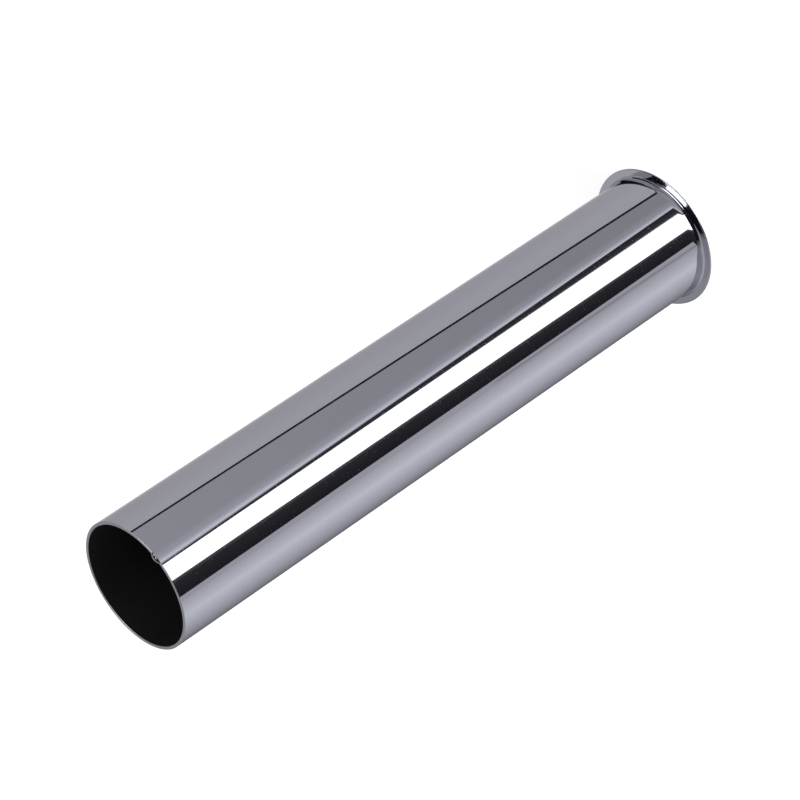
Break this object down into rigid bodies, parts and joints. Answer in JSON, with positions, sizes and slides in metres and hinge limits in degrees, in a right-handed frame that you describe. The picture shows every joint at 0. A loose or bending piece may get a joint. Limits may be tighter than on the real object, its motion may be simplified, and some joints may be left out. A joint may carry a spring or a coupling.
{
  "type": "drain tailpiece",
  "caption": "Straight thin-walled chrome drain tailpiece with a turned-out flat flange at one end and a square-cut plain end.",
  "frame": {"origin": "centre of the flange's sealing face, on the tube's axis", "axes": "+Z along the tube's axis, from the flange towards the sawn plain end; -Y is the side that the picture looks at"},
  "size_m": [0.0438, 0.0438, 0.2041],
  "materials": {
    "chrome_plate": "bright chrome plate on a polished drawn tube, with fine polishing lines round the tube; dull and dark down the bore"
  },
  "bodies": {
    "root": {"tailpiece": "chrome_plate"}
  },
  "joints": []
}
